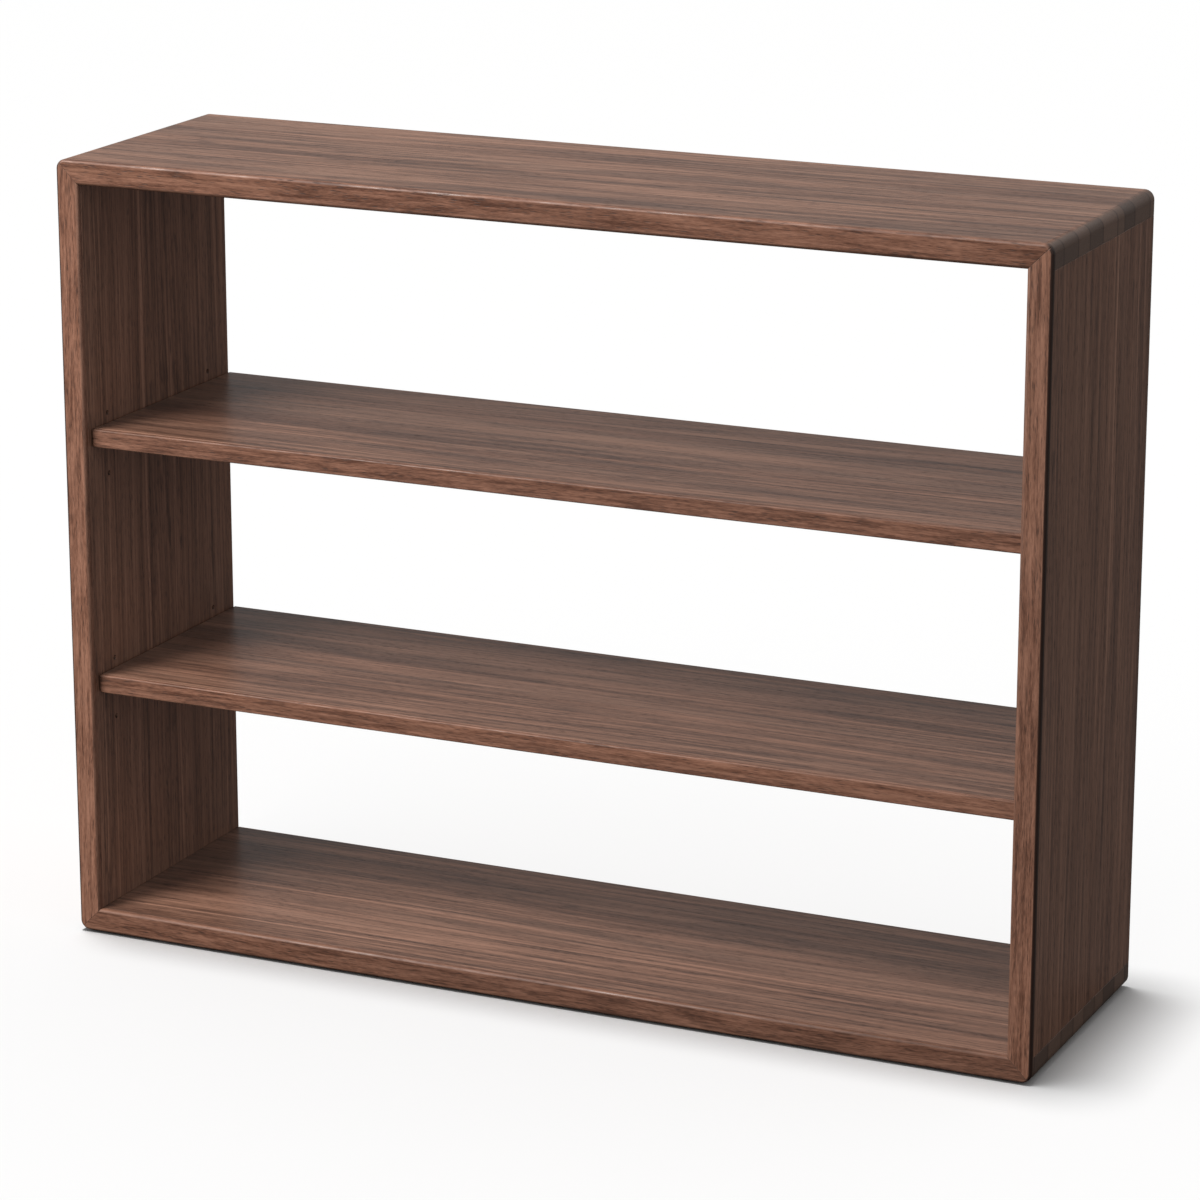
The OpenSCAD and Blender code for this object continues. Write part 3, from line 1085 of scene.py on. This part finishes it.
def buildCase():
    for node, degrees, seed in (("top_board", 0, 11), ("bottom_board", 180, 23)):
        end = node.split("_")[0]
        drills = dowelDrills([f"{end}_left_dowels", f"{end}_right_dowels"], end == "top")
        if end == "bottom":
            drills += glideDrills()
        mesh = withHoles(node, facing(lappingBoard(), degrees), drills)
        finishPiece(node + "_timber", mesh, "walnut_board", "case", node, "X", "Y", seed)
    for node, seed in (("left_side", 31), ("right_side", 47)):
        side = node.split("_")[0]
        drills = pegDrills(side)
        drills += dowelDrills([f"top_{side}_dowels"], False)
        drills += dowelDrills([f"bottom_{side}_dowels"], True)
        mesh = withHoles(node, plainBoard(node), drills)
        finishPiece(node + "_timber", mesh, "walnut_board", "case", node, "Z", "Y", seed, finish=node)
    ring = frontRing()
    for node, out, seed in (
        ("top_front_lipping", (0, 0, 1), 5), ("bottom_front_lipping", (0, 0, -1), 7),
        ("left_front_lipping", (-1, 0, 0), 9), ("right_front_lipping", (1, 0, 0), 13),
    ):
        along, across = ("X", "Z") if out[2] else ("Z", "X")
        finishPiece(
            node + "_strip", mitredLipping(ring, out), "walnut_lipping", "case", node, along, across, seed,
            outward=Vector(out) if out[0] else None, finish="rails" if out[2] else None,
        )
    ring.free()


def shelfLipping(node):
    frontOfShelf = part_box(node)[0].y

    def longFrontEdge(edge):
        return onPlane(edge, frontOfShelf) and abs(edge.verts[0].co.z - edge.verts[1].co.z) < tiny

    shape = blockShape(node)
    easeEdges(shape, edging["shelfArris"], edging["shelfSteps"], only=longFrontEdge)
    easeEdges(shape, edging["easing"])
    return shape


def buildShelves():
    for body, seed in (("upper_shelf", 61), ("lower_shelf", 73)):
        board, lipping = body + "_board", body + "_lipping"
        finishPiece(body + "_timber", plainBoard(board), "walnut_board", body, board, "X", "Y", seed)
        finishPiece(
            body + "_strip", shelfLipping(lipping), "walnut_lipping", body, lipping, "X", "Z", seed + 1,
        )


buildCase()
print("case made")
buildShelves()
print("shelves made")
buildDowels()
buildPegs()
buildGlides()
print("dowels, pegs and glides made")


def floorMaterial():
    material = bpy.data.materials.new("floor")
    material.use_nodes = True
    tree = material.node_tree
    shader = tree.nodes["Principled BSDF"]
    rays = addNode(tree, "ShaderNodeLightPath").outputs
    colour = blendColours(tree, rays["Is Glossy Ray"], studio["floorBounce"], studio["floorGloss"])
    colour = blendColours(tree, rays["Is Camera Ray"], colour, studio["floorSeen"])
    tree.links.new(colour, shader.inputs["Base Color"])
    shader.inputs["Roughness"].default_value = studio["floorRoughness"]
    shader.inputs["Specular IOR Level"].default_value = studio["floorSpecular"]
    return material


def addStudio():
    half = studio["floorSize"] / 2
    mesh = bpy.data.meshes.new("floor")
    corners = [(-half, -half, 0), (half, -half, 0), (half, half, 0), (-half, half, 0)]
    mesh.from_pydata(corners, [], [(0, 1, 2, 3)])
    floor = bpy.data.objects.new("floor", mesh)
    bpy.context.scene.collection.objects.link(floor)
    mesh.materials.append(floorMaterial())

    world = bpy.data.worlds.new("room")
    world.use_nodes = True
    tree = world.node_tree
    tree.nodes["Background"].inputs["Color"].default_value = studio["roomColour"]
    # the room lights the object dimly, but looks as pale as the floor
    seen = addNode(tree, "ShaderNodeLightPath").outputs["Is Camera Ray"]
    dim = studio["roomStrength"]
    strength = calc(tree, "MULTIPLY_ADD", seen, studio["backdrop"] - dim, dim)
    tree.links.new(strength, tree.nodes["Background"].inputs["Strength"])
    bpy.context.scene.world = world
    addLights(floor)
    bpy.context.scene.view_settings.view_transform = "Standard"


addCamera()
addStudio()
print("camera and lights made")
